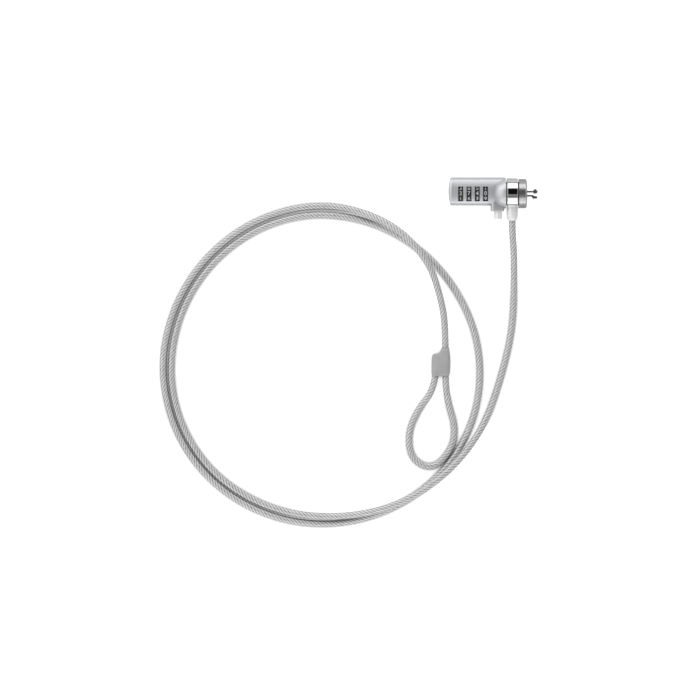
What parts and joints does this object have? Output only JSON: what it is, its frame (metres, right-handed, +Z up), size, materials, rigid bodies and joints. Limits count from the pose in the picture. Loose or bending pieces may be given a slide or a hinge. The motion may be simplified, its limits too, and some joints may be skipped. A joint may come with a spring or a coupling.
{
  "type": "laptop cable lock",
  "caption": "Combination lock head for a laptop's security slot, on a swivel ring, with a twisted steel cable that loops round and ends in a crimped eye.",
  "frame": {"origin": "on the floor under the middle of the lock head and its ferrule", "axes": "+X along the lock's axis towards its hooks, +Y away from the cable's exit, +Z up"},
  "size_m": [0.2422, 0.2239, 0.0196],
  "materials": {
    "shell_paint": "fine silver-grey paint with a soft sheen",
    "bright_chrome": "mirror-bright plating",
    "plated_steel": "pale satin plating",
    "satin_collar": "satin turned metal",
    "hook_steel": "plain hardened steel",
    "core_metal": "die-cast, unpolished",
    "dial_black": "black with white figures",
    "ring_brass": "turned, bare",
    "spring_steel": "bare spring steel",
    "pin_steel": "bare steel",
    "cable_steel": "twisted steel under a clear coat",
    "crimp_metal": "pressed, bare",
    "sleeve_plastic": "moulded grey"
  },
  "bodies": {
    "cable": {"swivel_ring": "bright_chrome", "cable_ferrule": "plated_steel", "cable_run": "cable_steel", "cable_eye": "cable_steel", "loop_crimp": "crimp_metal", "loop_sleeve": "sleeve_plastic"},
    "lock_body": {"journal_core": "core_metal", "upper_shell": "shell_paint", "lower_shell": "shell_paint", "end_cap": "shell_paint", "nose_collar": "satin_collar", "hook_pivot_pin": "hook_steel", "detent_spring": "spring_steel", "return_spring": "spring_steel", "cap_pins": "pin_steel", "shell_screw": "pin_steel"},
    "dial_1": {"dial_wheel_1": "dial_black", "code_ring_1": "ring_brass"},
    "dial_2": {"dial_wheel_2": "dial_black", "code_ring_2": "ring_brass"},
    "dial_3": {"dial_wheel_3": "dial_black", "code_ring_3": "ring_brass"},
    "dial_4": {"dial_wheel_4": "dial_black", "code_ring_4": "ring_brass"},
    "spindle": {"spindle": "pin_steel", "drive_pin": "pin_steel"},
    "hook_upper": {"upper_hook": "hook_steel"},
    "hook_lower": {"lower_hook": "hook_steel"},
    "button": {"release_button": "plated_steel"},
    "setter": {"code_setter": "pin_steel"}
  },
  "joints": [
    {"name": "head_swivel", "type": "hinge", "parent": "cable", "child": "lock_body", "pos_m": [0.01215, 0.00352, 0.0098], "axis": [-1, 0, 0], "continuous": true},
    {"name": "dial_1_turn", "type": "hinge", "parent": "lock_body", "child": "dial_1", "pos_m": [-0.02085, 0.00352, 0.0098], "axis": [1, 0, 0], "continuous": true},
    {"name": "dial_2_turn", "type": "hinge", "parent": "lock_body", "child": "dial_2", "pos_m": [-0.01558, 0.00352, 0.0098], "axis": [1, 0, 0], "continuous": true},
    {"name": "dial_3_turn", "type": "hinge", "parent": "lock_body", "child": "dial_3", "pos_m": [-0.01031, 0.00352, 0.0098], "axis": [1, 0, 0], "continuous": true},
    {"name": "dial_4_turn", "type": "hinge", "parent": "lock_body", "child": "dial_4", "pos_m": [-0.00504, 0.00352, 0.0098], "axis": [1, 0, 0], "continuous": true},
    {"name": "button_press", "type": "slide", "parent": "lock_body", "child": "button", "axis": [0, -1, 0], "range_m": [-0.003, 0], "stiffness_N_per_m": 300, "springref_m": 0.004},
    {"name": "spindle_slide", "type": "slide", "parent": "lock_body", "child": "spindle", "axis": [-1, 0, 0], "range_m": [0, 0.002], "deforming": ["return_spring"]},
    {"name": "hook_upper_turn", "type": "hinge", "parent": "lock_body", "child": "hook_upper", "pos_m": [0.01825, 0.00352, 0.0098], "axis": [0, 0, -1], "range_deg": [0, 11]},
    {"name": "hook_lower_turn", "type": "hinge", "parent": "lock_body", "child": "hook_lower", "pos_m": [0.01825, 0.00352, 0.0098], "axis": [0, 0, 1], "range_deg": [0, 11]},
    {"name": "setter_turn", "type": "hinge", "parent": "lock_body", "child": "setter", "pos_m": [-0.02565, 0.00983, 0.0098], "axis": [1, 0, 0], "range_deg": [0, 90]}
  ],
  "couplings": [
    {"joint": "spindle_slide", "follows": "button_press", "ratio": -0.6666},
    {"joint": "hook_upper_turn", "follows": "button_press", "rad_per_m": -63.99},
    {"joint": "hook_lower_turn", "follows": "button_press", "rad_per_m": -63.99}
  ]
}
